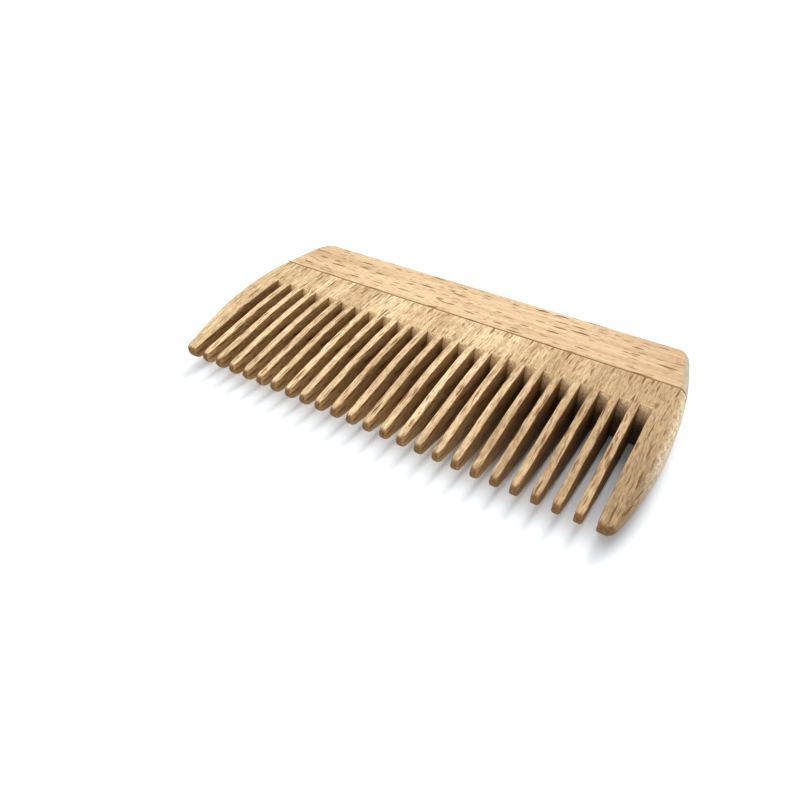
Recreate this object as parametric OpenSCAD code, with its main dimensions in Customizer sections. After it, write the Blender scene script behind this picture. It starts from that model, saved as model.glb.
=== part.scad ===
// Wooden hair comb: a toothed plate with its grain along the teeth, and a back strip with its
// grain along the comb, glued together along one straight seam.
// The comb lies flat: +X along its length, +Y from the tips to the back, +Z up.
// The origin is under the middle of the comb, on the face that it rests on.

/* [Teeth] */
// Distance from one tooth to the next
tooth_pitch = 4; // [3.2:0.1:5]
// Number of slim teeth between the two guard teeth
tooth_count = 23; // [9:2:27]
// Width of a slim tooth
tooth_w = 1.6; // [1:0.1:2.2]
// Width of a guard tooth where it is widest
guard_w = 5.8; // [4:0.1:8]
// Length of the teeth, from the tips to the closed ends of the gaps
tooth_len = 29.4; // [20:0.1:34]
// Length over which each tooth narrows to its tip
tip_len = 2; // [1:0.1:4]
// How much each side of a tooth is rounded away at its tip
tip_inset = 0.2; // [0.1:0.05:0.4]

/* [Comb] */
// Width of the comb, from the tips to the back
comb_w = 53; // [50:0.5:60]
// Thickness of the comb at its back
comb_t = 10.8; // [10:0.1:13]
// Distance from the tips to the glued seam
seam_y = 38.8; // [37:0.1:40]
// Slope of the upper face towards the tips, in degrees
upper_taper = 9.6; // [7.5:0.1:10]
// Slope of the lower face towards the tips, in degrees
lower_taper = 7.9; // [7.5:0.1:10]
// Radius of the curves that lead from the flat back into the slopes
crown_r = 146; // [130:1:160]

/* [Rounding] */
// Radius of the two ends, seen from above
end_r = 110; // [90:1:200]
// Distance from the tips to the longest point of the comb
end_y = 24.4; // [20:0.1:28]
// Radius of the two back corners, seen from above
corner_r = 4; // [2:0.1:6]
// Radius of the outer corner of each guard tooth tip, seen from above
guard_tip_r = 2.2; // [1:0.1:2.5]
// Rounding of the long back edges
back_edge_r = 0.6; // [0.3:0.1:2]
// Radius of the bevels along both ends
bevel_r = 3.6; // [1:0.1:4]
// Angle at which a face breaks into its bevel, in degrees
bevel_break = 30; // [20:1:45]

/* [Joint] */
// Thickness of the cured glue
glue_t = 0.2; // [0.1:0.05:0.4]
// How far the tongue of the toothed plate stands into the back strip
tongue_d = 3.6; // [2:0.1:5]
// Thickness of the tongue
tongue_t = 3.2; // [2:0.1:4]
// How far the tongue stops short of each end of the comb
tongue_stop = 9; // [7:0.5:15]

/* [Hidden] */

gap_w = tooth_pitch - tooth_w;
comb_len = tooth_count * tooth_pitch + gap_w + 2 * guard_w;
half_len = comb_len / 2;
half_t = comb_t / 2;

// Where the crown curves meet the flat back
crown_end_y = seam_y - glue_t - 1;

// Centre of the arc that shapes the right end, seen from above
end_x = half_len - end_r;

// Arc that rounds the sides of a tooth towards its tip, seen from above
tip_arc_r = (pow(tip_len, 2) + pow(tip_inset, 2)) / (2 * tip_inset);
tip_arc_angle = asin(tip_len / tip_arc_r);

// Room for cutting tools past the faces that they cut
past = 2;
// Angle between two points of a curve
small_step = 9;
crown_steps = 8;
tip_step = tip_arc_angle / 4;

function arc(centre, radius, from, to, step) =
    let (count = ceil(abs(to - from) / step))
    [for (i = [0:count])
        let (a = from + (to - from) * i / count)
        centre + radius * [cos(a), sin(a)]];

function flipped(points) = [for (i = [len(points) - 1:-1:0]) [points[i][0], -points[i][1]]];

// Radius of the round nose at the tips, which touches the slope behind it
function nose_r(taper) =
    let (
        crown_start_y = crown_end_y - crown_r * sin(taper),
        crown_start_h = half_t - crown_r * (1 - cos(taper)),
        slope_h = crown_start_h - crown_start_y * tan(taper)
    )
    slope_h * cos(taper) / (1 - sin(taper));

// Half of the section across the comb, from the tip to the back, about its middle height
function half_section(taper) = concat(
    arc([nose_r(taper), 0], nose_r(taper), 180, 90 + taper, small_step),
    arc([crown_end_y, half_t - crown_r], crown_r, 90 + taper, 90, taper / crown_steps),
    arc([comb_w - back_edge_r, half_t - back_edge_r], back_edge_r, 90, 0, small_step)
);

// The section across the comb, drawn out along its length
module side_solid() {
    translate([0, 0, half_t])
        rotate([90, 0, 90])
            linear_extrude(height = comb_len + 2 * past, center = true)
                polygon(concat(half_section(upper_taper), flipped(half_section(lower_taper))));
}

// A disc with a bevelled rim, whose right edge is the right end of the comb
module end_disc() {
    rim = arc([end_r - bevel_r, half_t - bevel_r * cos(bevel_break)], bevel_r, 90 - bevel_break, 0, small_step);
    rim_start = end_r - bevel_r * (1 - sin(bevel_break));
    upper = concat([[0, half_t + past], [rim_start, half_t + past]], rim);
    translate([end_x, end_y, half_t])
        rotate_extrude($fn = 360)
            polygon(concat(upper, flipped(upper)));
}

// What is cut off outside a rounded corner, on the right, at the edge_y line
module corner_cut(radius, edge_y, side) {
    centre_y = edge_y - side * radius;
    centre_x = end_x + sqrt(pow(end_r - radius, 2) - pow(centre_y - end_y, 2));
    tangent = atan2(centre_y - end_y, centre_x - end_x);
    rounding = arc([centre_x, centre_y], radius, side * 90, tangent, small_step);
    outside = [
        rounding[len(rounding) - 1] + past * [cos(tangent), sin(tangent)],
        [half_len + past, edge_y + side * past],
        [centre_x, edge_y + side * past]
    ];
    translate([0, 0, -past])
        linear_extrude(height = comb_t + 2 * past)
            polygon(concat(rounding, outside));
}

// The whole comb before sawing, as one block, with its tips on the line y = 0
module blank() {
    difference() {
        intersection() {
            side_solid();
            end_disc();
            mirror([1, 0, 0]) end_disc();
        }
        for (flip = [0, 1]) {
            mirror([flip, 0, 0]) corner_cut(corner_r, comb_w, 1);
            mirror([flip, 0, 0]) corner_cut(guard_tip_r, 0, -1);
        }
    }
}

// All of the space between two lines across the comb
module band(from_y, to_y) {
    translate([-half_len - past, from_y, -past])
        cube([comb_len + 2 * past, to_y - from_y, comb_t + 2 * past]);
}

// The tongue, or the groove for it when it is grown by the glue thickness
module tongue(grow) {
    length = comb_len - 2 * tongue_stop + 2 * grow;
    thickness = tongue_t + 2 * grow;
    translate([-length / 2, seam_y - 2 * glue_t, half_t - thickness / 2])
        cube([length, 2.5 * glue_t + tongue_d + grow, thickness]);
}

// One gap between two teeth, which opens out where the teeth narrow to their tips
module gap(x) {
    right_side = arc([gap_w / 2 + tip_arc_r, tip_len], tip_arc_r, 180, 180 + tip_arc_angle, tip_step);
    right_half = concat([[gap_w / 2, tooth_len]], right_side, [[gap_w / 2 + tip_inset, -past]]);
    left_half = [for (i = [len(right_half) - 1:-1:0]) [-right_half[i][0], right_half[i][1]]];
    translate([x, 0, -past])
        linear_extrude(height = comb_t + 2 * past)
            polygon(concat(right_half, left_half));
}

// Puts the finished comb over its origin
module place() {
    translate([0, -comb_w / 2, 0]) children();
}

module tooth_plate() {
    color([0.87, 0.74, 0.55])
        place()
            difference() {
                union() {
                    intersection() {
                        blank();
                        band(-past, seam_y - glue_t / 2);
                    }
                    tongue(0);
                }
                for (i = [0:tooth_count])
                    gap((i - tooth_count / 2) * tooth_pitch);
            }
}

module glue_line() {
    color([0.45, 0.29, 0.16])
        place()
            difference() {
                union() {
                    intersection() {
                        blank();
                        band(seam_y - glue_t / 2, seam_y + glue_t / 2);
                    }
                    intersection() {
                        tongue(glue_t);
                        band(seam_y, comb_w);
                    }
                }
                tongue(0);
            }
}

module back_strip() {
    color([0.91, 0.74, 0.56])
        place()
            difference() {
                intersection() {
                    blank();
                    band(seam_y + glue_t / 2, comb_w + past);
                }
                tongue(glue_t);
            }
}

tooth_plate();
glue_line();
back_strip();
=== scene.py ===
"""A wooden hair comb of two glued pieces of beech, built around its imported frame.

The comb lies flat: X runs along it, Y from the tooth tips to the back edge, and Z through it.
Meshes are worked out in metres, with y measured from the tooth tips and z from the middle height.
Materials are worked out in millimetres, on the comb's own coordinates.
"""

import math

import bmesh
import bpy
from bpy.props import FloatProperty, FloatVectorProperty, IntProperty, PointerProperty
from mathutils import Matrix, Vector


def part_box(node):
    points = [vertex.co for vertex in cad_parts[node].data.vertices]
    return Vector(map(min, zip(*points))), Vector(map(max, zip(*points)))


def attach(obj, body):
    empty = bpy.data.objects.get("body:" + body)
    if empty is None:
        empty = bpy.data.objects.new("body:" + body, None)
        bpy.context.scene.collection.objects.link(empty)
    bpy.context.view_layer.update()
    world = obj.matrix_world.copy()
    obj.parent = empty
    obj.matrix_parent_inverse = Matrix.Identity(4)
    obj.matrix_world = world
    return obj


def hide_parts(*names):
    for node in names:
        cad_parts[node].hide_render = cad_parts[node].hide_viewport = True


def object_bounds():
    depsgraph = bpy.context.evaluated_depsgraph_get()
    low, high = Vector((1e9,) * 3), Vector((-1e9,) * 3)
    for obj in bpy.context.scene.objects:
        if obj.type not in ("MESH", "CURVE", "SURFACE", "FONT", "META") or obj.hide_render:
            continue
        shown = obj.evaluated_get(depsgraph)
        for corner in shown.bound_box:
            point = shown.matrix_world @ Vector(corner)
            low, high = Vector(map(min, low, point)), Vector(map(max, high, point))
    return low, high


bl_info = {
    "name": "Wooden Hair Comb",
    "version": (1, 0, 0),
    "blender": (4, 5, 0),
    "location": "3D View > Sidebar > Comb",
    "description": "Builds a glued beech comb, its wood finishes and a small studio",
    "category": "Add Mesh",
}

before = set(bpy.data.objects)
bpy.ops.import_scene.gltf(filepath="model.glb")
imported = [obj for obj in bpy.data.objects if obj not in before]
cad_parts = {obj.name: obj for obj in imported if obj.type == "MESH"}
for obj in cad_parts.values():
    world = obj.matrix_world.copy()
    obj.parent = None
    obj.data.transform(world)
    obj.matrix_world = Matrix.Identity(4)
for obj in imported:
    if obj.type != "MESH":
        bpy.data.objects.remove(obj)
CAD_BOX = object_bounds()

MM = 0.001
BODY = "root"

PLATE_LOW, PLATE_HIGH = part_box("tooth_plate")
STRIP_LOW, STRIP_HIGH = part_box("back_strip")
GLUE_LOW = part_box("glue_line")[0]

# How many faces the parts of the meshes are divided into
FLAT_STEPS = 3
GUARD_FLAT_STEPS = 5
ROUND_STEPS = 4
EDGE_STEPS = 8
WALL_STEPS = 9
GAP_STEPS = 4
NOSE_STEPS = 10
TIP_STEPS = 9
SHAFT_STEPS = 22
BAR_STEPS = 10
STRIP_END_STEPS = 10
CORNER_STEPS = 10
BACK_STEPS = 16

# Points of one mesh that are closer than this are joined
WELD = 0.5e-6
# Where two gap cells meet, points closer than this are joined
CELL_WELD = 4e-6

# The flat stretch between the end of the crown curve and the glue
CROWN_GAP = 0.9 * MM
# The rounder edges of a tooth's tip blend into its long edges over this many tip lengths
TIP_BLEND = 1.6
# An edge's rounding takes at most these shares of the width and of the height beside it
ROUND_WIDTH_SHARE = 0.85
ROUND_HEIGHT_SHARE = 0.97
# The strip's end bevel turns into its back rounding as its outline comes to face the back: it starts at
# this y part of the outward direction, and takes this much more of it
BEVEL_FADE_START = 0.25
BEVEL_FADE_RANGE = 0.7
# Faces that meet at more than this angle keep a sharp edge
SHARP_ANGLE = math.radians(24)

# The sides of the teeth wander and the closed ends of the gaps fray in lumps, this many to a metre
DRIFT_LUMPS = (700, 200, 70)
FRAY_LUMPS = (1400, 500)
# The wandering fades out over this length before a closed end, and the fraying within it
SAW_FADE = 2 * MM

# Millimetres below the upper face where the painted shade low in the gaps starts and where it is full
GAP_SHADE_START = 2.4
GAP_SHADE_FULL = 6.4
# How much stronger the painted shade is on the closed ends of the gaps
GAP_SHADE_AT_END = 2.4

# Where the camera looks, from the middle of the comb
AIM = Vector((1.3, -15.4, 0.0)) * MM
# How far the floor reaches from the origin each way
FLOOR_REACH = 3.0


# ---------------------------------------------------------------------------
# Settings
# ---------------------------------------------------------------------------

def length_setting(name, description, millimetres):
    """A length that a user can change, given here in millimetres."""
    return FloatProperty(name=name, description=description, default=millimetres * MM, min=0.0,
                         precision=5, subtype="DISTANCE", unit="LENGTH")


def angle_setting(name, description, degrees):
    """An angle that a user can change, given here in degrees."""
    return FloatProperty(name=name, description=description, default=math.radians(degrees),
                         subtype="ANGLE", unit="ROTATION")


def colour_setting(name, description, colour):
    """A colour that a user can change, as linear red, green and blue."""
    return FloatVectorProperty(name=name, description=description, default=colour, size=3,
                               min=0.0, max=1.0, subtype="COLOR")


def share_setting(name, description, share):
    """A number from 0 to 1 that a user can change."""
    return FloatProperty(name=name, description=description, default=share, min=0.0, max=1.0,
                         subtype="FACTOR")


class CombSizes(bpy.types.PropertyGroup):
    """Sizes of the comb that its overall box doesn't give"""

    tooth_count: IntProperty(name="Slim teeth", description="Slim teeth between the guard teeth",
                             default=23, min=1)
    tooth_pitch: length_setting("Tooth pitch", "Distance from one tooth to the next", 4.0)
    tooth_width: length_setting("Tooth width", "Width of a slim tooth", 1.6)
    tooth_length: length_setting("Tooth length", "From the tips to the closed ends of the gaps", 29.4)
    tip_length: length_setting("Tip length", "Length over which a tooth narrows to its tip", 2.0)
    tip_inset: length_setting("Tip inset", "How much each side of a tooth is rounded away at its tip", 0.2)
    taper: angle_setting("Taper", "Slope of the upper face towards the tips", 9.6)
    under_taper: angle_setting("Under taper", "Slope of the lower face towards the tips", 7.9)
    crown_radius: length_setting("Crown radius", "Curve from the flat back into the slope", 146.0)
    end_radius: length_setting("End radius", "Radius of the two ends, seen from above", 110.0)
    end_place: length_setting("Widest place", "Distance from the tips to the longest point", 24.4)
    corner_radius: length_setting("Corner radius", "Back corners, seen from above", 4.0)
    guard_tip_radius: length_setting("Guard tip radius", "Outer corner of a guard tooth's tip", 2.2)
    bevel_radius: length_setting("End bevel radius", "Radius of the bevels along both ends", 3.6)
    bevel_break: angle_setting("End bevel break", "Angle at which a face breaks into its bevel", 30.0)
    left_bevel: share_setting("Left bevel", "Size of the left end's bevel beside the right one's", 0.5)
    back_round: length_setting("Back rounding", "Rounding of the long back edges", 0.6)
    arris: length_setting("Tooth arris", "Rounding of the sawn edges of the teeth", 0.15)
    tip_round: length_setting("Tip rounding", "Rounding of the edges at the very tips", 0.42)
    saw_hollow: length_setting("Saw hollow", "How far the closed end of a gap is hollowed", 0.2)
    gap_lean: length_setting("Gap lean", "How far the closed end of a gap leans back at its edges", 0.5)
    lean_depth: length_setting("Lean depth", "How deep the leaning part of a closed end goes", 2.8)
    seam_ease: length_setting("Seam easing", "How far the wood is eased back along the glue", 0.12)
    seam_drop: length_setting("Seam drop", "How deep the easing along the glue goes", 0.07)
    glue_sink: length_setting("Glue sink", "How far the glue lies below the wood", 0.1)
    wobble: length_setting("Saw wobble", "How much the sawn sides wander", 0.13)


class CombFinish(bpy.types.PropertyGroup):
    """Colours of the wood and the glue"""

    plate_light: colour_setting("Plate, light", "Pale wood of the toothed plate", (0.655, 0.503, 0.318))
    plate_dark: colour_setting("Plate, dark", "Darker bands of the toothed plate", (0.40, 0.283, 0.162))
    strip_light: colour_setting("Strip, light", "Pale wood of the back strip", (0.612, 0.46, 0.297))
    strip_dark: colour_setting("Strip, dark", "Darker bands of the back strip", (0.47, 0.33, 0.20))
    fleck: colour_setting("Ray flecks", "Short brown rays of beech", (0.17, 0.076, 0.022))
    # Lifted well above real end grain, as painted light on the closed ends of the gaps
    end_grain_with_painted_light: colour_setting("End grain", "Wood cut across its fibres", (0.95, 0.735, 0.49))
    # Greyer and darker than the strip: partly the cut ends' own colour, partly painted shade
    strip_end: colour_setting("Strip end grain", "Pale cut ends of the back strip", (0.53, 0.46, 0.375))
    tip_grain: colour_setting("Tip end grain", "Sanded end grain at the tips", (0.24, 0.14, 0.065))
    # Partly the rougher sawn wood's own colour, partly painted shade on the sides between the teeth
    sawn_tint_and_shade: colour_setting("Sawn tint and shade", "Tint of the sawn sides of the teeth", (0.84, 0.76, 0.64))
    # Painted sheen: paler, greyer wood where light glances off the comb's two outer sides
    outer_sheen: colour_setting("Outer sheen", "Pale wood on the comb's two outer sides", (0.76, 0.65, 0.49))
    stain: colour_setting("Glue stain", "Wood with glue soaked in", (0.27, 0.165, 0.07))
    glue: colour_setting("Glue", "Cured glue in the seam", (0.19, 0.11, 0.045))
    # Painted shade: how much darker the wood is made low in the gaps
    gap_shade: share_setting("Gap shade", "How much darker the wood is low in the gaps", 0.3)
    fleck_strength: share_setting("Fleck strength", "How dark the ray flecks are", 0.96)
    plate_streaks: share_setting("Plate streaks", "Contrast of the plate's fine grain", 0.30)
    strip_streaks: share_setting("Strip streaks", "Contrast of the strip's fine grain", 0.13)
    wood_roughness: share_setting("Wood roughness", "Roughness of the sanded faces", 0.56)


class StageLook(bpy.types.PropertyGroup):
    """The studio around the comb"""

    floor: colour_setting("Floor", "Pale studio floor", (0.79, 0.825, 0.86))
    sky: FloatProperty(name="Room light", description="Light from all around", default=0.59, min=0.0)
    key_power: FloatProperty(name="Key light", default=0.85, min=0.0,
                             description="Strength of the broad light from above, front left")
    back_power: FloatProperty(name="Back light", default=1.2, min=0.0,
                              description="Strength of the narrower light from above and behind")
    azimuth: angle_setting("View azimuth", "Where the camera stands; 0 looks along +Y", 32.48)
    elevation: angle_setting("View elevation", "How far the camera looks down", 39.25)
    distance: length_setting("View distance", "From the camera to the point it looks at", 135.1)
    lens: FloatProperty(name="Lens", description="Focal length of the camera, in millimetres",
                        default=29.14, min=1.0)


# ---------------------------------------------------------------------------
# The shape of the comb
# ---------------------------------------------------------------------------

class FaceLine:
    """One face of the comb seen from its end: a round nose, a slope, a crown curve, then flat."""

    def __init__(self, shape, taper):
        crown_r = shape.sizes.crown_radius
        self.half_t = shape.half_t
        self.crown_r = crown_r
        self.crown_end = shape.crown_end
        self.crown_start = shape.crown_end - crown_r * math.sin(taper)
        start_height = shape.half_t - crown_r * (1 - math.cos(taper))
        self.rise = math.tan(taper)
        self.foot = start_height - self.crown_start * self.rise
        self.nose_r = self.foot * math.cos(taper) / (1 - math.sin(taper))
        self.nose_end = self.nose_r * (1 - math.sin(taper))

    def height(self, y):
        """Distance from the middle height at a distance from the tips."""
        if y < self.nose_end:
            return math.sqrt(max(0.0, self.nose_r ** 2 - (self.nose_r - y) ** 2))
        if y < self.crown_start:
            return self.foot + y * self.rise
        if y < self.crown_end:
            drop = self.crown_r - math.sqrt(self.crown_r ** 2 - (self.crown_end - y) ** 2)
            return self.half_t - drop
        return self.half_t


class CombShape:
    """The comb's outline and thickness, worked out from its box and its settings."""

    def __init__(self, sizes):
        self.sizes = sizes
        self.tips_y = PLATE_LOW[1]
        self.mid_z = (CAD_BOX[0][2] + CAD_BOX[1][2]) / 2
        self.half_t = (CAD_BOX[1][2] - CAD_BOX[0][2]) / 2
        self.half_len = (PLATE_HIGH[0] - PLATE_LOW[0]) / 2
        self.width = STRIP_HIGH[1] - PLATE_LOW[1]
        self.glue_front = GLUE_LOW[1] - self.tips_y
        self.glue_back = STRIP_LOW[1] - self.tips_y
        self.gap_half = (sizes.tooth_pitch - sizes.tooth_width) / 2
        self.crown_end = self.glue_front - CROWN_GAP
        self.tip_end = TIP_BLEND * sizes.tip_length
        self.upper = FaceLine(self, sizes.taper)
        self.lower = FaceLine(self, sizes.under_taper)
        self.end_x = self.half_len - sizes.end_radius
        self.back_corner = self._corner(sizes.corner_radius, self.width - sizes.corner_radius)
        self.tip_corner = self._corner(sizes.guard_tip_radius, sizes.guard_tip_radius)

    def _corner(self, radius, centre_y):
        """Centre, and the place where it meets the end arc, of a rounded corner."""
        rise = centre_y - self.sizes.end_place
        centre_x = self.end_x + math.sqrt((self.sizes.end_radius - radius) ** 2 - rise ** 2)
        meets_y = self.sizes.end_place + rise * self.sizes.end_radius / (self.sizes.end_radius - radius)
        return centre_x, centre_y, meets_y

    def heights(self, y):
        """How far the upper and the lower face lie from the middle height."""
        return self.upper.height(y), self.lower.height(y)

    def half_length(self, y):
        """Half the comb's length at a distance from the tips."""
        sizes = self.sizes
        corner_x, corner_y, meets_y = self.tip_corner
        if y < meets_y:
            return corner_x + math.sqrt(max(0.0, sizes.guard_tip_radius ** 2 - (y - corner_y) ** 2))
        return self.end_x + math.sqrt(sizes.end_radius ** 2 - (y - sizes.end_place) ** 2)

    def side_inset(self, y):
        """How far a tooth's side is rounded away near its tip."""
        sizes = self.sizes
        if y >= sizes.tip_length:
            return 0.0
        arc_r = (sizes.tip_length ** 2 + sizes.tip_inset ** 2) / (2 * sizes.tip_inset)
        return arc_r - math.sqrt(arc_r ** 2 - (sizes.tip_length - y) ** 2)

    def bevel(self, side):
        """Radius of the bevel at the right end (1) or the left one (-1)."""
        return self.sizes.bevel_radius * (1.0 if side > 0 else self.sizes.left_bevel)

    def arris(self, y):
        """Rounding of a tooth's long edges, which grows towards the tip."""
        sizes = self.sizes
        near = max(0.0, 1 - y / self.tip_end)
        return sizes.arris + (sizes.tip_round - sizes.arris) * near ** 2

    def place(self, x, y, z):
        """A point in the frame, from one measured from the tips and the middle height."""
        return Vector((x, self.tips_y + y, self.mid_z + z))

    def gap_edge(self):
        """Where the face of the comb meets the rounding at the closed end of a gap."""
        return self.sizes.tooth_length + self.sizes.gap_lean + self.sizes.arris

    def leg_stations(self):
        """Distances from the tips at which a tooth is shaped, up to the closed end of its gap."""
        nose_end = max(self.upper.nose_end, self.lower.nose_end)
        nose = [nose_end * (1 - math.cos(turn)) for turn in spread(0, math.pi / 2, NOSE_STEPS)]
        tip = spread(nose[-1], self.tip_end, TIP_STEPS)[1:]
        shaft = spread(self.tip_end, self.sizes.tooth_length - 2 * self.sizes.arris, SHAFT_STEPS)[1:]
        return nose + tip + shaft

    def bar_stations(self):
        """Distances from the tips at which the solid bar behind the teeth is shaped."""
        return spread(self.gap_edge(), self.glue_front - self.sizes.seam_ease, BAR_STEPS)


def spread(start, stop, steps):
    """Evenly spaced numbers from start to stop, both included."""
    return [start + (stop - start) * i / steps for i in range(steps + 1)]


def crowded(start, stop, steps):
    """Numbers from start to stop, both included, that lie closer together near both."""
    return [start + (stop - start) * (1 - math.cos(turn)) / 2 for turn in spread(0, math.pi, steps)]


def rounding(steps, start=0.0):
    """Pairs of (how far in, how far down) for a rounded edge of radius 1.

    start is the angle at which the face breaks into the rounding: 0 blends smoothly.
    """
    return [(1 - math.sin(turn), math.cos(start) - math.cos(turn))
            for turn in spread(start, math.pi / 2, steps)]


def add_grid(mesh, rows):
    """Adds the faces of a grid of points, given row by row."""
    verts = [[mesh.verts.new(point) for point in row] for row in rows]
    for low, high in zip(verts, verts[1:]):
        for i in range(len(low) - 1):
            mesh.faces.new((low[i], low[i + 1], high[i + 1], high[i]))


def add_face(mesh, points):
    """Adds one flat face."""
    mesh.faces.new([mesh.verts.new(point) for point in points])


def weld(mesh):
    """Joins points that coincide and removes faces without area."""
    bmesh.ops.remove_doubles(mesh, verts=mesh.verts, dist=WELD)
    bmesh.ops.dissolve_degenerate(mesh, edges=mesh.edges, dist=WELD)


def as_object(mesh, name):
    """Turns a bmesh into an object in the scene, and frees it."""
    data = bpy.data.meshes.new(name)
    mesh.to_mesh(data)
    mesh.free()
    made = bpy.data.objects.new(name, data)
    bpy.context.scene.collection.objects.link(made)
    return made


def half_ring(heights, inner, outer, radius, edge, flat_steps=FLAT_STEPS):
    """Points (x, z) of half a tooth's section, from its middle on top, round one side, to below.

    heights are those of its upper and lower faces, and edge is the shape of its rounded edge, as
    rounding() gives it.
    """
    turn = 1 if outer > inner else -1
    widest, deepest = edge[0][0], edge[-1][1]
    radius = min(radius, ROUND_WIDTH_SHARE * abs(outer - inner) / widest)
    faces = []
    for height in heights:
        down = min(radius, ROUND_HEIGHT_SHARE * height / deepest)
        flat = [(x, height) for x in spread(inner, outer - turn * down * widest, flat_steps)]
        corner = [(outer - turn * down * i, height - down * d) for i, d in edge]
        faces.append(flat + corner[1:])
    upper, lower = faces
    wall = [(outer, z) for z in crowded(upper[-1][1], -lower[-1][1], WALL_STEPS)][1:-1]
    return upper + wall + [(x, -z) for x, z in reversed(lower)]


# ---------------------------------------------------------------------------
# Meshes of the toothed plate
# ---------------------------------------------------------------------------

def gap_leg(shape, side):
    """Rows of one side of a gap, from the tip of a tooth to the gap's closed end."""
    sizes = shape.sizes
    middle = side * sizes.tooth_pitch / 2
    rows = []
    for y in shape.leg_stations():
        outer = side * (shape.gap_half + shape.side_inset(y))
        ring = half_ring(shape.heights(y), middle, outer, shape.arris(y), rounding(ROUND_STEPS))
        rows.append([shape.place(x, y, z) for x, z in ring])
    rows.append(gap_end_row(shape, side))
    return rows


def gap_end_y(shape, z, heights):
    """Where the closed end of a gap lies at one height.

    The saw leaves it slightly hollow, and sanding makes it lean back towards both faces.
    """
    sizes = shape.sizes
    wall = (heights[0] if z > 0 else heights[1]) - sizes.arris
    lean = max(0.0, 1 - (wall - abs(z)) / sizes.lean_depth) ** 2
    return sizes.tooth_length + sizes.saw_hollow * (1 - (z / wall) ** 2) + sizes.gap_lean * lean


def gap_end_row(shape, side):
    """The row of points where a tooth's side turns into the closed end of its gap."""
    sizes = shape.sizes
    heights = shape.heights(shape.gap_edge())
    middle = side * sizes.tooth_pitch / 2
    ring = half_ring(heights, middle, side * shape.gap_half, sizes.arris, rounding(ROUND_STEPS))
    row = []
    for x, z in ring:
        inset = min(abs(x) - shape.gap_half, sizes.arris)
        if inset > WELD:
            y = sizes.tooth_length + sizes.gap_lean + inset
        else:
            y = gap_end_y(shape, z, heights)
        row.append(shape.place(x, y, z))
    return row


def gap_end_wall(shape):
    """Rows of the closed end of a gap, from its left side to its right side."""
    left = gap_end_row(shape, -1)[FLAT_STEPS:-FLAT_STEPS]
    right = gap_end_row(shape, 1)[FLAT_STEPS:-FLAT_STEPS]
    return [[a.lerp(b, share) for a, b in zip(left, right)] for share in spread(0, 1, GAP_STEPS)]


def bar_columns(shape):
    """Places across one gap cell at which the solid bar behind it is divided."""
    sizes = shape.sizes
    half_pitch = sizes.tooth_pitch / 2
    inner = shape.gap_half + sizes.arris
    left = spread(-half_pitch, -inner, FLAT_STEPS)
    middle = spread(-inner, inner, GAP_STEPS)[1:-1]
    return left + middle + [-x for x in reversed(left)]


def gap_cell():
    """The wood round one gap: half a tooth on each side, and the solid bar behind it."""
    shape = CombShape(bpy.context.scene.comb_sizes)
    sizes = shape.sizes
    mesh = bmesh.new()
    for side in (-1, 1):
        add_grid(mesh, gap_leg(shape, side))
    add_grid(mesh, gap_end_wall(shape))
    columns = bar_columns(shape)
    for up, face in ((1, shape.upper), (-1, shape.lower)):
        rows = [[shape.place(x, y, up * face.height(y)) for x in columns]
                for y in shape.bar_stations()]
        rows.append(seam_row(shape, columns, up))
        add_grid(mesh, rows)
    add_grid(mesh, [seam_row(shape, columns, -1), seam_row(shape, columns, 1)])
    weld(mesh)
    return as_object(mesh, "gap_cell")


def seam_row(shape, columns, up):
    """The last row of the plate, which meets the glue just below the surface."""
    height = shape.half_t - shape.sizes.seam_drop
    return [shape.place(x, shape.glue_front, up * height) for x in columns]


def end_ring(shape, side, y, inner, ease=0.0):
    """Half a section at one end of the comb, from inside it round its bevelled outer edge."""
    sizes = shape.sizes
    heights = [height - ease for height in shape.heights(y)]
    ring = half_ring(heights, inner, shape.half_length(y) - ease, shape.bevel(side),
                     rounding(EDGE_STEPS, sizes.bevel_break), GUARD_FLAT_STEPS)
    return [(side * x, z) for x, z in ring]


def guard_ends():
    """The outer part of the two guard teeth, with the ends of the solid bar."""
    shape = CombShape(bpy.context.scene.comb_sizes)
    sizes = shape.sizes
    inner = (sizes.tooth_count + 1) * sizes.tooth_pitch / 2
    mesh = bmesh.new()
    for side in (-1, 1):
        rows = [[shape.place(x, y, z) for x, z in end_ring(shape, side, y, inner)]
                for y in shape.leg_stations() + shape.bar_stations()]
        last = [shape.place(x, shape.glue_front, z)
                for x, z in end_ring(shape, side, shape.glue_front, inner, sizes.seam_drop)]
        rows.append(last)
        add_grid(mesh, rows)
        add_face(mesh, last)
    weld(mesh)
    return as_object(mesh, "guard_ends")


# ---------------------------------------------------------------------------
# Meshes of the back strip and the glue
# ---------------------------------------------------------------------------

def strip_outline(shape):
    """Points and outward directions of the strip's right half, from the seam to its back middle."""
    sizes = shape.sizes
    centre_x, centre_y, meets_y = shape.back_corner
    start_y = shape.glue_back + sizes.seam_ease
    points = []
    for y in spread(start_y, meets_y, STRIP_END_STEPS):
        out = Vector((shape.half_length(y) - shape.end_x, y - sizes.end_place)).normalized()
        points.append((Vector((shape.half_length(y), y)), out))
    first = math.atan2(meets_y - centre_y, shape.half_length(meets_y) - centre_x)
    for turn in spread(first, math.pi / 2, CORNER_STEPS)[1:]:
        out = Vector((math.cos(turn), math.sin(turn)))
        points.append((Vector((centre_x, centre_y)) + sizes.corner_radius * out, out))
    for x in spread(centre_x, 0, BACK_STEPS)[1:]:
        points.append((Vector((x, shape.width)), Vector((0, 1))))
    return points


def strip_levels(shape, radius, start):
    """Pairs of (how far in, height) from the top face down to the lower one."""
    upper = [(radius * i, shape.half_t - radius * d) for i, d in rounding(EDGE_STEPS, start)]
    low = upper[-1][1]
    wall = [(0.0, z) for z in crowded(low, -low, WALL_STEPS)][1:-1]
    return upper + wall + [(i, -z) for i, z in reversed(upper)]


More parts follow.
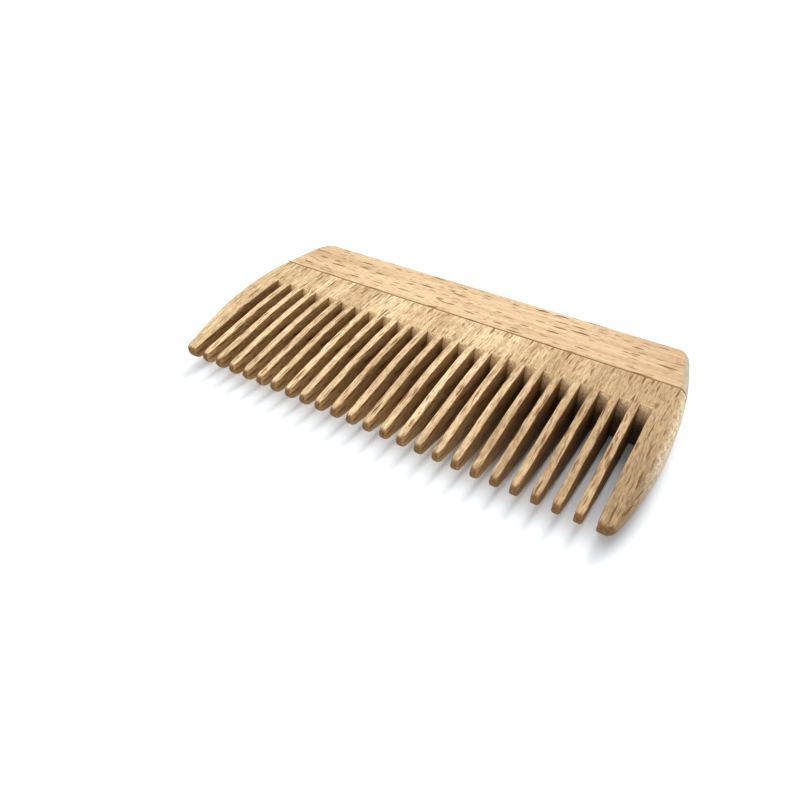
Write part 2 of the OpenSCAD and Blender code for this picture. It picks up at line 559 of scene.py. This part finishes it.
def strip_mesh():
    """The back strip, with rounded ends, corners and back edges."""
    shape = CombShape(bpy.context.scene.comb_sizes)
    sizes = shape.sizes
    mesh = bmesh.new()
    outline = strip_outline(shape)
    start_y = outline[0][0].y
    for side in (-1, 1):
        rings = []
        for point, out in outline:
            to_end = 1 - min(1.0, max(0.0, (out.y - BEVEL_FADE_START) / BEVEL_FADE_RANGE))
            radius = sizes.back_round + (shape.bevel(side) - sizes.back_round) * to_end
            ring = []
            for inward, z in strip_levels(shape, radius, sizes.bevel_break * to_end):
                spot = point - inward * out
                y = start_y if point is outline[0][0] else spot.y
                ring.append(shape.place(side * spot.x, y, z))
            rings.append(ring)
        add_grid(mesh, rings)
        shrink = 1 - sizes.seam_drop / shape.half_t
        seam = [shape.place(p.x - side * sizes.seam_drop, shape.glue_back, (p.z - shape.mid_z) * shrink)
                for p in rings[0]]
        add_grid(mesh, [seam, rings[0]])
        top_seam = strip_face(mesh, shape, [ring[0] for ring in rings], seam[0], 1)
        low_seam = strip_face(mesh, shape, [ring[-1] for ring in rings], seam[-1], -1)
        add_face(mesh, seam + low_seam[1:] + top_seam[:0:-1])
    weld(mesh)
    bmesh.ops.recalc_face_normals(mesh, faces=mesh.faces)
    return as_object(mesh, "strip_shape")


def strip_face(mesh, shape, edge, seam_end, up):
    """Fills the upper (1) or lower (-1) face of the strip, and returns its row of points at the glue."""
    foot = [shape.place(p.x, shape.glue_back + shape.sizes.seam_ease, up * shape.half_t) for p in edge]
    height = up * (shape.half_t - shape.sizes.seam_drop)
    seam = [seam_end] + [shape.place(p.x, shape.glue_back, height) for p in edge[1:]]
    add_grid(mesh, [seam, foot, edge])
    return seam


def glue_mesh():
    """The film of cured glue, which shows as a thin line sunk between the two pieces."""
    shape = CombShape(bpy.context.scene.comb_sizes)
    mesh = bmesh.new()
    right, left = [end_ring(shape, side, shape.glue_front, 0.0, shape.sizes.glue_sink)
                   for side in (1, -1)]
    whole = right + left[::-1]
    rows = [[shape.place(x, y, z) for x, z in whole + whole[:1]]
            for y in (shape.glue_front, shape.glue_back)]
    add_grid(mesh, rows)
    for row in rows:
        add_face(mesh, row[:-1])
    weld(mesh)
    bmesh.ops.recalc_face_normals(mesh, faces=mesh.faces)
    return as_object(mesh, "glue_shape")


# ---------------------------------------------------------------------------
# Node expressions
# ---------------------------------------------------------------------------

class Wire:
    """A node's output that can be used in sums, so that maths on it adds Math nodes."""

    def __init__(self, maker, socket):
        self.maker = maker
        self.socket = socket

    def _math(self, operation, first, second=0.0):
        return self.maker.node("ShaderNodeMath", {"operation": operation}, {0: first, 1: second})

    def __add__(self, other):
        return self._math("ADD", self, other)

    def __radd__(self, other):
        return self._math("ADD", other, self)

    def __sub__(self, other):
        return self._math("SUBTRACT", self, other)

    def __rsub__(self, other):
        return self._math("SUBTRACT", other, self)

    def __mul__(self, other):
        return self._math("MULTIPLY", self, other)

    def __rmul__(self, other):
        return self._math("MULTIPLY", other, self)

    def __truediv__(self, other):
        return self._math("DIVIDE", self, other)

    def __abs__(self):
        return self._math("ABSOLUTE", self)

    def __lt__(self, other):
        return self._math("LESS_THAN", self, other)

    def __gt__(self, other):
        return self._math("GREATER_THAN", self, other)

    def lowest(self, other):
        """The smaller of two values."""
        return self._math("MINIMUM", self, other)

    def highest(self, other):
        """The larger of two values."""
        return self._math("MAXIMUM", self, other)


class NodeMaker:
    """Adds nodes to one tree and joins them up."""

    def __init__(self, tree):
        self.tree = tree

    def node(self, kind, settings=None, inputs=None, output=0):
        """One node: its settings are set first, then its sockets, by number or by name."""
        made = self.tree.nodes.new(kind)
        for name, value in (settings or {}).items():
            setattr(made, name, value)
        self.feed(made, inputs or {})
        return Wire(self, made.outputs[output])

    def feed(self, node, inputs):
        """Gives a node's sockets their values or links."""
        for name, value in inputs.items():
            if isinstance(value, Wire):
                self.tree.links.new(value.socket, node.inputs[name])
            else:
                node.inputs[name].default_value = value

    def other_output(self, wire, output):
        """Another output of the node that a wire comes from."""
        return Wire(self, wire.socket.node.outputs[output])

    def split(self, vector):
        """The three parts of a vector."""
        first = self.node("ShaderNodeSeparateXYZ", None, {0: vector})
        return first, self.other_output(first, 1), self.other_output(first, 2)

    def join(self, x, y, z):
        """A vector from its three parts."""
        return self.node("ShaderNodeCombineXYZ", None, {0: x, 1: y, 2: z})

    def noise(self, vector, detail=2.0, roughness=0.5):
        """Smooth noise from 0 to 1, one lump to a unit."""
        return self.node("ShaderNodeTexNoise", {"noise_dimensions": "3D"},
                         {"Vector": vector, "Scale": 1.0, "Detail": detail, "Roughness": roughness})

    def smooth(self, value, low, high):
        """0 below low, 1 above high, and a smooth rise between them."""
        return self.node("ShaderNodeMapRange", {"interpolation_type": "SMOOTHSTEP"},
                         {"Value": value, "From Min": low, "From Max": high})

    def mix(self, factor, first, second, blend="MIX"):
        """One colour where factor is 0, another, or a blend of the two, where it is 1."""
        return self.node("ShaderNodeMix", {"data_type": "RGBA", "blend_type": blend},
                         {0: factor, 6: first, 7: second}, output=2)

    def bump(self, height, distance):
        """A normal that shows a relief of this height, where 1 stands for the distance."""
        return self.node("ShaderNodeBump", None, {"Strength": 0.6, "Distance": distance, "Height": height})

    def shade(self, colour, factor):
        """A colour, linked or given as three numbers, made lighter or darker by a factor."""
        return self.node("ShaderNodeVectorMath", {"operation": "SCALE"}, {0: colour, 3: factor})


def opaque(colour):
    """A colour setting as the four numbers that a node wants."""
    return (*colour, 1.0)


# ---------------------------------------------------------------------------
# Materials
# ---------------------------------------------------------------------------

def new_material(name):
    """An empty node material, its maker, and its shader node."""
    material = bpy.data.materials.new(name)
    material.use_nodes = True
    shader = material.node_tree.nodes["Principled BSDF"]
    return material, NodeMaker(material.node_tree), shader


def ray_flecks(maker, along, across, cell, size, share, seed):
    """Lens-shaped rays with pointed ends, from 0 between them to 1.

    cell is the patch of wood that one ray lies in and size is half a ray, each as (along, across) the
    grain. share is the share of cells that have a ray.
    """
    spot = maker.join(along / cell[0] + seed, across / cell[1] + seed, 0.0)
    cells = maker.node("ShaderNodeTexVoronoi", {"voronoi_dimensions": "2D"},
                       {"Vector": spot, "Scale": 1.0, "Randomness": 0.85})
    pick, stretch, weight = maker.split(maker.other_output(cells, "Color"))
    centre_along, centre_across, _ = maker.split(maker.other_output(cells, "Position"))
    spot_along, spot_across, _ = maker.split(spot)
    length = 0.45 + stretch
    width = 0.6 + 0.8 * weight
    off_along = (spot_along - centre_along) * cell[0] / length / size[0]
    off_across = (spot_across - centre_across) * cell[1] / width / size[1]
    lens = 1 - abs(off_across) - off_along * off_along
    return maker.smooth(lens, 0.0, 0.4) * (pick < share) * (0.7 + 0.3 * stretch)


def beech(name, grain_axis, light, dark, seed):
    """Bare sanded beech, whose fibres run along X (0) or along Y (1)."""
    finish = bpy.context.scene.comb_finish
    on_plate = grain_axis == 1
    material, maker, shader = new_material(name)
    here = maker.node("ShaderNodeTexCoord", output="Object")
    normal = maker.split(maker.node("ShaderNodeTexCoord", output="Normal"))
    x, y, z = maker.split(maker.shade(here, 1 / MM))
    along, across = (y, x) if on_plate else (x, y)

    # The grain wanders slowly and ripples a little
    wander = maker.noise(maker.join(along * 0.05 + seed, across * 0.06, z * 0.06)) - 0.5
    across = across + wander * 2.4
    ripple = maker.noise(maker.join(along * 0.35, across * 0.5 + seed, z * 0.3)) - 0.5
    across = across + ripple * 0.35

    # Broad and narrow growth bands. The dark ones take over towards the comb's right end
    bands = maker.noise(maker.join(along * 0.016, across * 0.22 + seed, z * 0.15), detail=3.0)
    rings = maker.noise(maker.join(along * 0.03, across * 0.95, z * 0.6 + seed), detail=3.0)
    tone = maker.smooth(bands * 0.5 + rings * 0.5, 0.36, 0.64)
    if on_plate:
        tone = tone * 0.75 + maker.smooth(x, 5.0, 45.0) * 0.75 + maker.smooth(x, 45.0, 50.0) * 0.3
    else:
        tone = tone + maker.smooth(x, 20.0, 50.0) * 0.35
    wood = maker.mix(tone, opaque(light), opaque(dark))

    # Fine grain, which is measured down the upright faces and across the others
    upright = abs(normal[1 - grain_axis]) > 0.7
    face_across = across + upright * (z - across)
    streaks = maker.noise(maker.join(along * 0.3, face_across * 2.7, z * 0.2))
    fibres = maker.noise(maker.join(along * 0.8, face_across * 4.2, z * 0.2), roughness=0.6)
    grit = maker.noise(maker.join(along * 2.4, across * 6.0, z * 6.0), roughness=0.7)
    grain = maker.smooth(streaks, 0.38, 0.62) * 0.4 + maker.smooth(fibres, 0.38, 0.62) * 0.4 + grit * 0.2
    contrast = finish.plate_streaks if on_plate else finish.strip_streaks
    wood = maker.shade(wood, 1.0 - contrast + 2 * contrast * grain)
    if on_plate:
        # Darker tip of the right guard tooth: partly the wood's own tone, partly painted shade where it
        # slopes away from the light
        wood = maker.shade(wood, 1 - 0.2 * right_guard_tip(maker, x, y))

    # Rays in three sizes, which are wider on the strip
    wide = 1.0 if on_plate else 1.35
    big = ray_flecks(maker, along, face_across, (6.6, 1.8 * wide), (2.1, 0.2 * wide), 0.66, seed)
    small = ray_flecks(maker, along, face_across, (3.4, 1.0 * wide), (1.2, 0.13 * wide), 0.62, seed + 17.3)
    fine = ray_flecks(maker, along, face_across, (1.8, 0.5), (0.6, 0.085), 0.7, seed + 41.7)
    flecks = big.highest(small * 0.75).highest(fine * 0.45 / wide)
    wood = maker.mix(flecks * finish.fleck_strength, wood, opaque(finish.fleck))

    # Sides with painted shade and sheen, cut ends with painted light, painted shade low in the gaps, and
    # glue
    cut_across = maker.smooth(abs(normal[grain_axis]), 0.3, 0.85)
    if on_plate:
        wood = sawn_sides(maker, wood, abs(x), y, z, abs(normal[0]))
    wood = maker.mix(cut_across, wood, end_grain_with_painted_light(maker, on_plate, x, y, z, seed))
    if on_plate:
        sides = maker.smooth(abs(normal[0]), 0.6, 0.9)
        gap_ends = maker.smooth(abs(normal[1]), 0.6, 0.9)
        # Painted shade low in the gaps, stronger on their closed ends
        painted_shade = (sides + GAP_SHADE_AT_END * gap_ends) * low_in_gap(maker, x, y, z)
        wood = maker.shade(wood, 1 - finish.gap_shade * painted_shade)

    maker.feed(shader, {"Base Color": glue_stain(maker, wood, x, y),
                        "Roughness": finish.wood_roughness + 0.16 * (grain - 0.5) + 0.15 * cut_across,
                        "Normal": maker.bump(grain * 0.6 - flecks * 0.5, 0.08 * MM),
                        "Specular IOR Level": 0.35})
    return material


def right_guard_tip(maker, x, y):
    """1 on the tip of the right guard tooth, and 0 on the rest of the comb."""
    return maker.smooth(x, 45.0, 49.0) * maker.smooth(y, 6.0, -18.0)


def end_grain_with_painted_light(maker, on_plate, x, y, z, seed):
    """Wood cut across its fibres, with fine pores and slanting growth lines; the gap ends get painted
    light, the strip's ends partly painted shade.
    """
    finish = bpy.context.scene.comb_finish
    across = x if on_plate else y
    slant = maker.noise(maker.join(across * 0.25 + seed, 0.0, z * 0.25)) * 7
    growth = across * 0.5 + z * 0.3 + slant
    nearest = maker.node("ShaderNodeMath", {"operation": "ROUND"}, {0: growth})
    lines = maker.smooth(abs(growth - nearest), 0.02, 0.3)
    pores = maker.noise(maker.join(x * 2.6, y * 2.6, z * 2.6), detail=4.0, roughness=0.75)
    speckle = maker.smooth(pores, 0.35, 0.65)
    # Partly painted shade on the strip's ends
    colour = finish.strip_end
    contrast = 0.2
    if on_plate:
        near_tip = maker.smooth(y, PLATE_LOW[1] / MM + 4.0, PLATE_LOW[1] / MM + 2.0)
        # Lighter than real end grain on the closed ends of the gaps: painted light
        colour = maker.mix(near_tip, opaque(finish.end_grain_with_painted_light), opaque(finish.tip_grain))
        contrast = 0.42
    return maker.shade(colour, 0.83 - contrast / 2 + 0.14 * lines + contrast * speckle)


def sawn_sides(maker, wood, from_middle, y, z, facing_end):
    """Browner sawn sides of the teeth, partly the wood's own colour and partly painted shade, and a
    painted sheen on the two outer sides.
    """
    finish = bpy.context.scene.comb_finish
    end_x = PLATE_HIGH[0] / MM
    outer = maker.smooth(from_middle, end_x - 4.5, end_x - 4.0)
    sideways = maker.smooth(facing_end, 0.6 - 0.2 * outer, 0.9)
    # Painted shade on the sawn sides between the teeth, over their own browner tint
    sawn = maker.mix(1.0, wood, opaque(finish.sawn_tint_and_shade), "MULTIPLY")
    # Painted sheen on the two outer sides, mottled, and fading out towards the tips
    mottle = maker.noise(maker.join(from_middle, y * 1.1, z * 2.0), detail=4.0, roughness=0.75)
    behind_tips = maker.smooth(y, -22.0, -4.0)
    sheen_amount = (0.15 + 0.85 * maker.smooth(mottle, 0.36, 0.62)) * behind_tips
    pale = maker.mix(sheen_amount, wood, opaque(finish.outer_sheen))
    return maker.mix(sideways, wood, maker.mix(outer, sawn, pale))


def low_in_gap(maker, x, y, z):
    """1 low down in the gaps between the teeth, where shade is painted into the wood, and 0 near the upper
    face.
    """
    shape = CombShape(bpy.context.scene.comb_sizes)
    face = shape.upper
    height = (face.foot / MM + (y - shape.tips_y / MM) * face.rise).lowest(face.half_t / MM)
    depth = height - (z - shape.mid_z / MM)
    row_half = (shape.sizes.tooth_count + 1) * shape.sizes.tooth_pitch / 2 / MM
    return maker.smooth(depth, GAP_SHADE_START, GAP_SHADE_FULL) * (abs(x) < row_half)


def glue_stain(maker, wood, x, y):
    """Wood darkened where glue has soaked in along the seam."""
    finish = bpy.context.scene.comb_finish
    seam = (GLUE_LOW[1] + STRIP_LOW[1]) / 2 / MM
    uneven = maker.noise(maker.join(x * 1.3, 0.0, 0.0)) - 0.5
    near = maker.smooth(abs(y - seam) + uneven * 0.12, 0.34, 0.12)
    return maker.mix(near * 0.75, wood, opaque(finish.stain))


def cured_glue():
    """Dark wood glue, mottled where it has soaked into the end grain."""
    finish = bpy.context.scene.comb_finish
    material, maker, shader = new_material("cured_glue")
    here = maker.node("ShaderNodeTexCoord", output="Object")
    x, y, z = maker.split(maker.shade(here, 1 / MM))
    patches = maker.noise(maker.join(x * 0.7, y, z * 0.7), detail=3.0)
    lumps = maker.noise(maker.join(x * 4.0, y * 4.0, z * 4.0))
    maker.feed(shader, {"Base Color": maker.shade(finish.glue, 0.55 + 0.7 * patches + 0.25 * lumps),
                        "Roughness": 0.38 + 0.3 * patches,
                        "Normal": maker.bump(lumps, 0.03 * MM)})
    return material


def studio_floor():
    """Matt pale paper with a faint tooth."""
    material, maker, shader = new_material("studio_floor")
    here = maker.node("ShaderNodeTexCoord", output="Object")
    cloud = maker.noise(maker.shade(here, 40.0), detail=3.0)
    colour = maker.shade(bpy.context.scene.comb_stage.floor, 0.99 + 0.02 * cloud)
    maker.feed(shader, {"Base Color": colour, "Roughness": 0.9, "Specular IOR Level": 0.1})
    return material


# ---------------------------------------------------------------------------
# The row of teeth, as a node tree
# ---------------------------------------------------------------------------

TREE_INPUTS = {"Geometry": "NodeSocketGeometry", "Gaps": "NodeSocketInt", "Pitch": "NodeSocketFloat",
               "Guard ends": "NodeSocketObject", "Wobble": "NodeSocketFloat",
               "Teeth end": "NodeSocketFloat", "Row half": "NodeSocketFloat",
               "Wood": "NodeSocketMaterial"}


def tooth_row_tree():
    """A tree that sets its shape out in a row, adds the guard teeth and joins all into one plate."""
    tree = bpy.data.node_groups.new("Tooth row", "GeometryNodeTree")
    for name, kind in TREE_INPUTS.items():
        tree.interface.new_socket(name, in_out="INPUT", socket_type=kind)
    tree.interface.new_socket("Geometry", in_out="OUTPUT", socket_type="NodeSocketGeometry")
    maker = NodeMaker(tree)
    cell = maker.node("NodeGroupInput", output="Geometry")
    gaps, pitch, guard_ends_object, wobble, teeth_end, row_half, wood = [
        maker.other_output(cell, name) for name in list(TREE_INPUTS)[1:]]

    line = maker.node("GeometryNodeMeshLine", {"mode": "OFFSET"},
                      {"Count": gaps, "Start Location": maker.join((1 - gaps) * pitch / 2, 0.0, 0.0),
                       "Offset": maker.join(pitch, 0.0, 0.0)})
    row = maker.node("GeometryNodeInstanceOnPoints", None, {"Points": line, "Instance": cell})
    guards = maker.node("GeometryNodeObjectInfo", None, {"Object": guard_ends_object}, output="Geometry")
    both = maker.node("GeometryNodeJoinGeometry")
    for part in (row, guards):
        maker.feed(both.socket.node, {0: part})
    solid = maker.node("GeometryNodeRealizeInstances", None, {0: both})
    welded = maker.node("GeometryNodeMergeByDistance", None, {"Geometry": solid, "Distance": CELL_WELD})

    x, y, z = maker.split(maker.node("GeometryNodeInputPosition"))
    drift = maker.noise(maker.join(x * DRIFT_LUMPS[0], y * DRIFT_LUMPS[1], z * DRIFT_LUMPS[2]), detail=1.0)
    sawn = maker.smooth(y, teeth_end, teeth_end - SAW_FADE) * (abs(x) < row_half)
    fray = maker.noise(maker.join(x * FRAY_LUMPS[0], z * FRAY_LUMPS[1], 0.0), detail=3.0, roughness=0.6)
    at_gap_end = maker.smooth(abs(y - teeth_end), SAW_FADE, SAW_FADE / 2)
    offset = maker.join(2 * (drift - 0.5) * wobble * sawn, 4 * (fray - 0.5) * wobble * at_gap_end, 0.0)
    moved = maker.node("GeometryNodeSetPosition", None, {"Geometry": welded, "Offset": offset})
    coloured = maker.node("GeometryNodeSetMaterial", None, {"Geometry": moved, "Material": wood})
    maker.feed(tree.nodes.new("NodeGroupOutput"), {0: coloured})
    return tree


def set_inputs(modifier, values):
    """Sets a node modifier's named inputs, each through its socket's identifier."""
    for item in modifier.node_group.interface.items_tree:
        if item.item_type == "SOCKET" and item.in_out == "INPUT" and item.name in values:
            modifier[item.identifier] = values[item.name]


def plain_copy(source, name):
    """A plain mesh object of what an object's modifiers make, with the source removed."""
    bpy.context.view_layer.update()
    graph = bpy.context.evaluated_depsgraph_get()
    data = bpy.data.meshes.new_from_object(source.evaluated_get(graph))
    data.name = name
    made = bpy.data.objects.new(name, data)
    bpy.context.scene.collection.objects.link(made)
    bpy.data.objects.remove(source)
    return made


def finish_piece(piece, node):
    """Smooths a piece's curved faces and puts it in the place of its frame node."""
    piece.data.shade_smooth()
    piece.data.set_sharp_from_angle(angle=SHARP_ANGLE)
    even = piece.modifiers.new("Even shading", "WEIGHTED_NORMAL")
    even.keep_sharp = True
    even.weight = 80
    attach(piece, BODY)
    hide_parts(node)


# ---------------------------------------------------------------------------
# Operators
# ---------------------------------------------------------------------------

class COMB_OT_tooth_plate(bpy.types.Operator):
    """Make the toothed plate with its slim teeth and guard teeth"""

    bl_idname = "comb.tooth_plate"
    bl_label = "Tooth Plate"

    def execute(self, context):
        sizes = context.scene.comb_sizes
        finish = context.scene.comb_finish
        cell = gap_cell()
        guards = guard_ends()
        row = cell.modifiers.new("Tooth row", "NODES")
        row.node_group = tooth_row_tree()
        wood = beech("plate_beech", 1, finish.plate_light, finish.plate_dark, 3.7)
        set_inputs(row, {"Gaps": sizes.tooth_count + 1, "Pitch": sizes.tooth_pitch,
                         "Guard ends": guards, "Wobble": sizes.wobble,
                         "Teeth end": PLATE_LOW[1] + sizes.tooth_length,
                         "Row half": (sizes.tooth_count + 1) * sizes.tooth_pitch / 2, "Wood": wood})
        plate = plain_copy(cell, "comb_tooth_plate")
        bpy.data.objects.remove(guards)
        mesh = bmesh.new()
        mesh.from_mesh(plate.data)
        bmesh.ops.recalc_face_normals(mesh, faces=mesh.faces)
        mesh.to_mesh(plate.data)
        mesh.free()
        finish_piece(plate, "tooth_plate")
        return {"FINISHED"}


class COMB_OT_back_strip(bpy.types.Operator):
    """Make the back strip, whose grain runs along the comb"""

    bl_idname = "comb.back_strip"
    bl_label = "Back Strip"

    def execute(self, context):
        finish = context.scene.comb_finish
        strip = strip_mesh()
        strip.name = strip.data.name = "comb_back_strip"
        strip.data.materials.append(beech("strip_beech", 0, finish.strip_light, finish.strip_dark, 11.2))
        finish_piece(strip, "back_strip")
        return {"FINISHED"}


class COMB_OT_glue_line(bpy.types.Operator):
    """Make the thin line of cured glue between the two pieces of wood"""

    bl_idname = "comb.glue_line"
    bl_label = "Glue Line"

    def execute(self, context):
        film = glue_mesh()
        film.name = film.data.name = "comb_glue_line"
        film.data.materials.append(cured_glue())
        finish_piece(film, "glue_line")
        return {"FINISHED"}


def soft_light(name, strength, breadth, direction):
    """White light from a patch of the room so many degrees across, which lies in one direction."""
    lamp = bpy.data.lights.new(name, "SUN")
    lamp.energy = strength
    lamp.angle = math.radians(breadth)
    made = bpy.data.objects.new(name, lamp)
    made.rotation_euler = Vector(direction).to_track_quat("Z", "Y").to_euler()
    bpy.context.scene.collection.objects.link(made)


class COMB_OT_stage(bpy.types.Operator):
    """Make the floor, the lights and the camera"""

    bl_idname = "comb.stage"
    bl_label = "Stage"

    def execute(self, context):
        scene = context.scene
        look = scene.comb_stage
        middle = (Vector(CAD_BOX[0]) + Vector(CAD_BOX[1])) / 2

        mesh = bmesh.new()
        corners = ((-1, -1), (1, -1), (1, 1), (-1, 1))
        add_face(mesh, [(FLOOR_REACH * x, FLOOR_REACH * y, 0) for x, y in corners])
        floor = as_object(mesh, "studio_floor")
        floor.data.materials.append(studio_floor())

        world = bpy.data.worlds.new("Room light")
        world.use_nodes = True
        NodeMaker(world.node_tree).feed(world.node_tree.nodes["Background"],
                                        {"Color": opaque((1.0, 1.0, 1.0)), "Strength": look.sky})
        scene.world = world
        soft_light("Key light", look.key_power, breadth=75, direction=(-0.35, -0.30, 0.89))
        soft_light("Back light", look.back_power, breadth=28, direction=(0.05, 0.62, 0.78))

        away = Vector((math.sin(look.azimuth) * math.cos(look.elevation),
                       -math.cos(look.azimuth) * math.cos(look.elevation),
                       math.sin(look.elevation)))
        data = bpy.data.cameras.new("Camera")
        data.lens = look.lens
        data.sensor_width = 36.0
        data.clip_start = 0.01
        camera = bpy.data.objects.new("Camera", data)
        camera.location = middle + AIM + look.distance * away
        camera.rotation_euler = (-away).to_track_quat("-Z", "Y").to_euler()
        scene.collection.objects.link(camera)
        scene.camera = camera
        scene.view_settings.view_transform = "Standard"
        scene.view_settings.look = "High Contrast"
        return {"FINISHED"}


class COMB_PT_build(bpy.types.Panel):
    """Lists the steps that build the comb"""

    bl_idname = "COMB_PT_build"
    bl_label = "Wooden Comb"
    bl_space_type = "VIEW_3D"
    bl_region_type = "UI"
    bl_category = "Comb"

    def draw(self, context):
        for operator in OPERATORS:
            self.layout.operator(operator.bl_idname)
        for settings in (context.scene.comb_sizes, context.scene.comb_finish, context.scene.comb_stage):
            box = self.layout.box()
            for name in settings.__annotations__:
                box.prop(settings, name)


SETTINGS = {"comb_sizes": CombSizes, "comb_finish": CombFinish, "comb_stage": StageLook}
OPERATORS = (COMB_OT_tooth_plate, COMB_OT_back_strip, COMB_OT_glue_line, COMB_OT_stage)
CLASSES = (*SETTINGS.values(), *OPERATORS, COMB_PT_build)


def register():
    """Adds the comb's settings, operators and panel"""
    for cls in CLASSES:
        bpy.utils.register_class(cls)
    for name, group in SETTINGS.items():
        setattr(bpy.types.Scene, name, PointerProperty(type=group))


def unregister():
    """Takes them away again"""
    for name in SETTINGS:
        delattr(bpy.types.Scene, name)
    for cls in reversed(CLASSES):
        bpy.utils.unregister_class(cls)


def main():
    """Builds the comb and its stage"""
    register()
    bpy.ops.comb.tooth_plate()
    bpy.ops.comb.back_strip()
    bpy.ops.comb.glue_line()
    bpy.ops.comb.stage()


if __name__ == "__main__":
    main()
